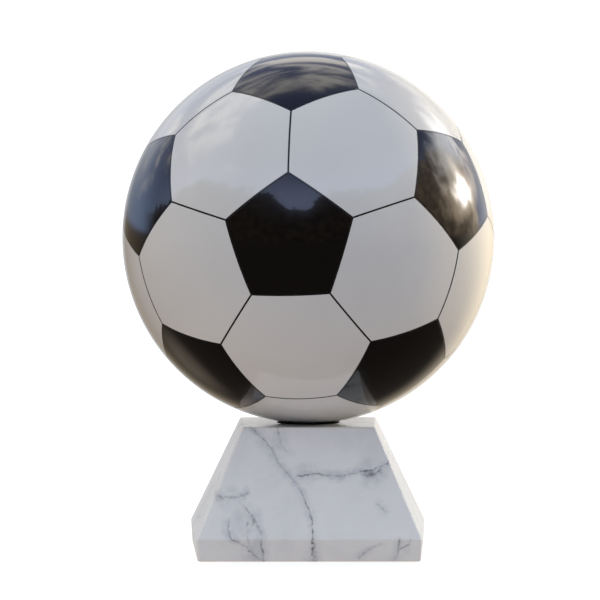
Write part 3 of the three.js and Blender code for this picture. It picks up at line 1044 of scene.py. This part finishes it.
FLOOR_RADIUS = 45
FLOOR_STEPS = 128
FLOOR_PAINT = (0.52, 0.52, 0.52)
FLOOR_GLOW = (0.69, 0.685, 0.68)

# The lamp behind the right side.
KEY_AZIMUTH = 119.5
KEY_ELEVATION = 3
KEY_DISTANCE = 0.9
KEY_AIM = BALL_CENTRE + Vector((0, 0, 20 * MM))
KEY_SIZE = 140 * MM
KEY_SPREAD = 16
KEY_POWER = 0.205
KEY_COLOUR = (1.0, 0.82, 0.54)

# Soft patches of the studio: azimuth, elevation, half width and half height.
MIRRORED_KEY = (KEY_AZIMUTH, 13, 8.5, 3.8)
MIRRORED_UPPER = (126, 26, 18, 9)
MIRRORED_LOW_LEFT = (-144, -33, 11, 9)
LEFT_FLAG = (-115, -5, 45, 45)
RIGHT_FLAG = (28, 12, 40, 40)

# The studio's colours, in linear light.
HORIZON_BEHIND = (0.40, 0.52, 0.82)
HORIZON_AHEAD = (0.95, 1.15, 1.75)
ZENITH = (0.13, 0.17, 0.33)
SKY_CLOUD = (1.35, 1.29, 1.22)
GROUND_AHEAD = (0.055, 0.045, 0.038)
GROUND_BEHIND_LEFT = (0.16, 0.12, 0.08)
GROUND_BEHIND_RIGHT = (0.97, 0.84, 0.64)
SHADE_LEFT = (0.060, 0.046, 0.037)
SHADE_RIGHT = (0.34, 0.26, 0.19)
BACK_LOW_LEFT = (0.24, 0.27, 0.32)
BACK_LOW_RIGHT = (1.05, 1.01, 0.95)
BACK_HIGH_LEFT = (0.80, 0.82, 0.85)
BACK_HIGH_RIGHT = (0.60, 0.60, 0.60)
RIM_LEFT = (0.56, 0.57, 0.60)
RIM_RIGHT = (0.90, 0.88, 0.85)
UPPER_TINT = (1.0, 0.99, 0.97)
LAMP_CORE_TINT = (1.0, 0.97, 0.92)
LAMP_HALO_TINT = (1.0, 0.80, 0.56)
LOW_LEFT_TINT = (1.0, 0.84, 0.66)
LIGHT_BELOW = (0.68, 0.56, 0.45)
LIGHT_ABOVE = (0.91, 0.96, 1.01)
LIGHT_MORE_BEHIND = (0.34, 0.29, 0.21)
LIGHT_MORE_RIGHT = (-0.09, -0.075, -0.055)
LEFT_FLAG_TINT = (0.95, 1.0, 1.0)
RIGHT_FLAG_TINT = (1.0, 0.8, 0.35)
BACKDROP = (1.0, 1.0, 1.0)


def direction(azimuth, elevation):
    """A unit vector from two angles."""
    a, e = math.radians(azimuth), math.radians(elevation)
    return Vector((math.sin(a) * math.cos(e), -math.cos(a) * math.cos(e), math.sin(e)))


def make_camera():
    data = bpy.data.cameras.new("camera")
    data.lens = CAMERA_LENS
    data.sensor_width = 36
    data.clip_start = 0.1
    data.clip_end = 200
    camera = bpy.data.objects.new("camera", data)
    bpy.context.scene.collection.objects.link(camera)
    camera.location = BALL_CENTRE + direction(CAMERA_AZIMUTH, CAMERA_ELEVATION) * CAMERA_DISTANCE
    camera.rotation_euler = (
        math.radians(90 - CAMERA_ELEVATION - CAMERA_DIP),
        0,
        math.radians(CAMERA_AZIMUTH + CAMERA_TURN),
    )
    bpy.context.scene.camera = camera


def glow(graph, colour, kind="ShaderNodeEmission"):
    node = graph.add(kind)
    if isinstance(colour, tuple):
        colour = (*colour, 1)
    graph.put(node.inputs["Color"], colour)
    return node.outputs[0]


def make_floor():
    """A pale floor. The trophy does not mirror it, but the low half of the studio."""
    vertices = [direction(360 * i / FLOOR_STEPS, 0) * FLOOR_RADIUS for i in range(FLOOR_STEPS)]
    floor = to_object("floor", vertices, [tuple(range(FLOOR_STEPS))])
    if floor.data.polygons[0].normal.z < 0:
        floor.data.flip_normals()
    material = bpy.data.materials.new("floor_pale")
    material.use_nodes = True
    graph = Graph(material.node_tree, "Object")
    graph.tree.nodes.remove(graph.tree.nodes["Principled BSDF"])
    paint = graph.add("ShaderNodeBsdfDiffuse")
    paint.inputs["Color"].default_value = (*FLOOR_PAINT, 1)
    lit = graph.add("ShaderNodeAddShader")
    graph.join(paint.outputs[0], lit.inputs[0])
    graph.join(glow(graph, FLOOR_GLOW), lit.inputs[1])
    graph.join(lit.outputs[0], graph.tree.nodes["Material Output"].inputs["Surface"])
    floor.data.materials.append(material)
    floor.visible_diffuse = False
    floor.visible_glossy = False


def off_axis(graph, azimuth, elevation, half_width, half_height):
    """0 at a soft patch's middle, 1 on the ellipse of its half angles, and more outside."""
    aim = direction(azimuth, elevation)
    across = Vector((0, 0, 1)).cross(aim).normalized()
    up = aim.cross(across)
    u = graph.dot(graph.place, tuple(across / math.sin(math.radians(half_width))))
    v = graph.dot(graph.place, tuple(up / math.sin(math.radians(half_height))))
    away = graph.maths("SQRT", graph.maths("MULTIPLY_ADD", u, u, graph.maths("MULTIPLY", v, v)))
    behind = graph.span(graph.dot(graph.place, tuple(aim)), 0.0, 0.2, 20, 0)
    return graph.maths("ADD", away, behind)


def mirrored_sky(graph, x, y, z):
    """Blue, darker towards the top, with long soft clouds."""
    ahead = graph.span(y, -0.2, 0.5, 1, 0)
    horizon = graph.blend(ahead, HORIZON_BEHIND, HORIZON_AHEAD)
    climb = graph.span(graph.maths("MULTIPLY_ADD", ahead, -0.3, z), 0.0, 0.6, 0, 1)
    blue = graph.blend(climb, horizon, ZENITH)
    drifting = graph.stretched((1, 1.6, 2.2), shift=(19.5, 9.1, 9.8))
    cover = graph.noise(2.3, detail=6, roughness=0.62, distortion=0.7, place=drifting)
    high_behind = graph.maths("MAXIMUM", graph.maths("MULTIPLY_ADD", y, z, -0.1), -0.2)
    cover = graph.maths("MULTIPLY_ADD", high_behind, 0.36, cover)
    high_right = graph.maths("MULTIPLY", graph.maths("MULTIPLY", x, z), z)
    cover = graph.maths("MULTIPLY_ADD", high_right, -0.3, cover)
    return graph.blend(graph.span(cover, 0.55, 0.74, 0, 1), blue, SKY_CLOUD)


def mirrored_trees(graph, x, y, z):
    """(share, colour): a dark ragged band with a gap ahead, higher and paler on the right."""
    crowns = graph.noise(7, detail=6, roughness=0.7)
    tips = graph.noise(24, detail=4, roughness=0.6, place=graph.stretched((1, 1, 0.25)))
    height = graph.maths("MULTIPLY_ADD", crowns, -0.24, z)
    height = graph.maths("MULTIPLY_ADD", tips, -0.16, height)
    beside_gap = graph.maths("ABSOLUTE", graph.maths("ADD", x, 0.12))
    limit = graph.span(beside_gap, 0.08, 0.32, 0.22, 0.38)
    limit = graph.maths("MULTIPLY", limit, graph.span(y, -0.3, 0.5, 1, 0))
    limit = graph.maths("MAXIMUM", limit, graph.span(x, 0.55, 0.85, 0, 0.47))
    low = graph.span(graph.maths("SUBTRACT", height, limit), -0.09, -0.065, 1, 0)
    right = graph.span(x, 0.45, 0.85, 0, 1)
    around_front = graph.span(graph.maths("MULTIPLY_ADD", right, -0.22, y), 0.35, 0.6, 1, 0)
    shade = graph.blend(right, SHADE_LEFT, SHADE_RIGHT)
    dapple = graph.span(graph.noise(16, detail=4, roughness=0.65), 0.3, 0.7, 0.3, 1.8)
    shade = graph.blend(1.0, shade, dapple, kind="MULTIPLY")
    return graph.maths("MULTIPLY", low, around_front), shade


def mirrored_back(graph, x, y, z):
    """(share, colour): the pale haze behind, low over the ground and brighter on the right."""
    side = graph.span(x, -0.6, 0.6, 0, 1)
    low = graph.blend(side, BACK_LOW_LEFT, BACK_LOW_RIGHT)
    high = graph.blend(side, BACK_HIGH_LEFT, BACK_HIGH_RIGHT)
    colour = graph.blend(graph.span(z, 0.05, 0.3, 0, 1), low, high)
    share = graph.maths("MULTIPLY", graph.span(y, 0.6, 0.97, 0, 1), graph.span(z, 0.2, 0.5, 0.9, 0.0))
    return share, colour


def mirrored_ground(graph, x, y, z):
    """(share, colour): dark under the trophy's front, warm and paler far behind it."""
    side = graph.span(x, -0.6, 0.6, 0, 1)
    behind = graph.blend(side, GROUND_BEHIND_LEFT, GROUND_BEHIND_RIGHT)
    far = graph.span(graph.maths("MULTIPLY_ADD", z, 0.9, y), 0.12, 0.8, 0, 1)
    return graph.span(z, -0.02, 0.02, 1, 0), graph.blend(far, GROUND_AHEAD, behind)


def mirrored_rim(graph, x, y, z):
    """(share, colour): what shows in the ball's very edge."""
    colour = graph.blend(graph.span(x, -0.1, 0.1, 0, 1), RIM_LEFT, RIM_RIGHT)
    return graph.span(y, 0.93, 0.985, 0, 1), colour


def mirrored_studio(graph):
    """What the lacquer mirrors: dark ahead, sky above, a low warm lamp and a soft one above it."""
    x, y, z = graph.split(graph.place)
    colour = mirrored_sky(graph, x, y, z)
    for layer in (mirrored_trees, mirrored_back, mirrored_ground, mirrored_rim):
        share, laid_over = layer(graph, x, y, z)
        colour = graph.blend(share, colour, laid_over)

    uneven = graph.span(graph.noise(9, detail=4, roughness=0.6), 0.3, 0.7, 0.7, 1.4)
    upper = graph.maths("MULTIPLY", off_axis(graph, *MIRRORED_UPPER), uneven)
    lamp = graph.maths("MULTIPLY", off_axis(graph, *MIRRORED_KEY), uneven)
    low_left = off_axis(graph, *MIRRORED_LOW_LEFT)
    for patch, full, end, strength, tint in (
        (upper, 0.4, 1.5, 2.1, UPPER_TINT),
        (lamp, 0.4, 1.5, 12, LAMP_CORE_TINT),
        (lamp, 0.5, 3.6, 2.1, LAMP_HALO_TINT),
        (low_left, 0.3, 1.5, 0.22, LOW_LEFT_TINT),
    ):
        light = graph.tinted(graph.span(patch, full, end, strength, 0), tint)
        colour = graph.total(colour, light)
    return colour


def soft_light(graph):
    """The even light that falls on the trophy: cool from above, warm from below and behind."""
    x, y, z = graph.split(graph.place)
    height = graph.span(z, -1, 1, 0, 1, smooth=False)
    colour = graph.blend(height, LIGHT_BELOW, LIGHT_ABOVE)
    colour = graph.total(colour, graph.tinted(y, LIGHT_MORE_BEHIND))
    colour = graph.total(colour, graph.tinted(x, LIGHT_MORE_RIGHT))
    for flag, strength, tint in (
        (LEFT_FLAG, -0.45, LEFT_FLAG_TINT),
        (RIGHT_FLAG, -0.17, RIGHT_FLAG_TINT),
    ):
        held_back = graph.span(off_axis(graph, *flag), 0.0, 1.2, strength, 0)
        colour = graph.total(colour, graph.tinted(held_back, tint))
    return colour


def make_world():
    """White behind the trophy, the mirrored studio in its gloss, and soft light on it."""
    world = bpy.data.worlds.new("studio")
    bpy.context.scene.world = world
    world.use_nodes = True
    world.node_tree.nodes.clear()
    graph = Graph(world.node_tree, "Generated")
    kind = "ShaderNodeBackground"
    path = graph.add("ShaderNodeLightPath")
    unseen = graph.either(
        path.outputs["Is Glossy Ray"],
        glow(graph, soft_light(graph), kind),
        glow(graph, mirrored_studio(graph), kind),
    )
    surface = graph.either(path.outputs["Is Camera Ray"], unseen, glow(graph, BACKDROP, kind))
    graph.join(surface, graph.add("ShaderNodeOutputWorld").inputs["Surface"])


def make_lights():
    """A warm lamp in a snoot behind the right side, on the ball only. It is not mirrored."""
    data = bpy.data.lights.new("key_right", "AREA")
    data.shape = "DISK"
    data.size = KEY_SIZE
    data.spread = math.radians(KEY_SPREAD)
    data.energy = KEY_POWER
    data.color = KEY_COLOUR
    key = bpy.data.objects.new("key_right", data)
    bpy.context.scene.collection.objects.link(key)
    key.location = KEY_AIM + direction(KEY_AZIMUTH, KEY_ELEVATION) * KEY_DISTANCE
    key.rotation_euler = (KEY_AIM - key.location).to_track_quat("-Z", "Y").to_euler()
    key.visible_glossy = False


# ---- the whole scene ----

bpy.context.scene.view_settings.view_transform = "Standard"

make_camera()
make_floor()
make_world()
make_lights()

outlines = panel_outlines()
looks = {
    "white": lacquer(
        "white_gloss", (0.73, 0.725, 0.715), (0.77, 0.765, 0.755), (0.45, 0.42, 0.38), 0.22
    ),
    "black": lacquer(
        "black_gloss", (0.0020, 0.0018, 0.0016), (0.0034, 0.0028, 0.0025), (0.03, 0.027, 0.024), 0.18
    ),
}
make_panels(outlines, looks)
make_filler(outlines, joint_look())
make_gasket(gasket_rubber_and_painted_shade_look())
make_plinth(marble_look())
make_felt(felt_look())
dress_hidden_parts()
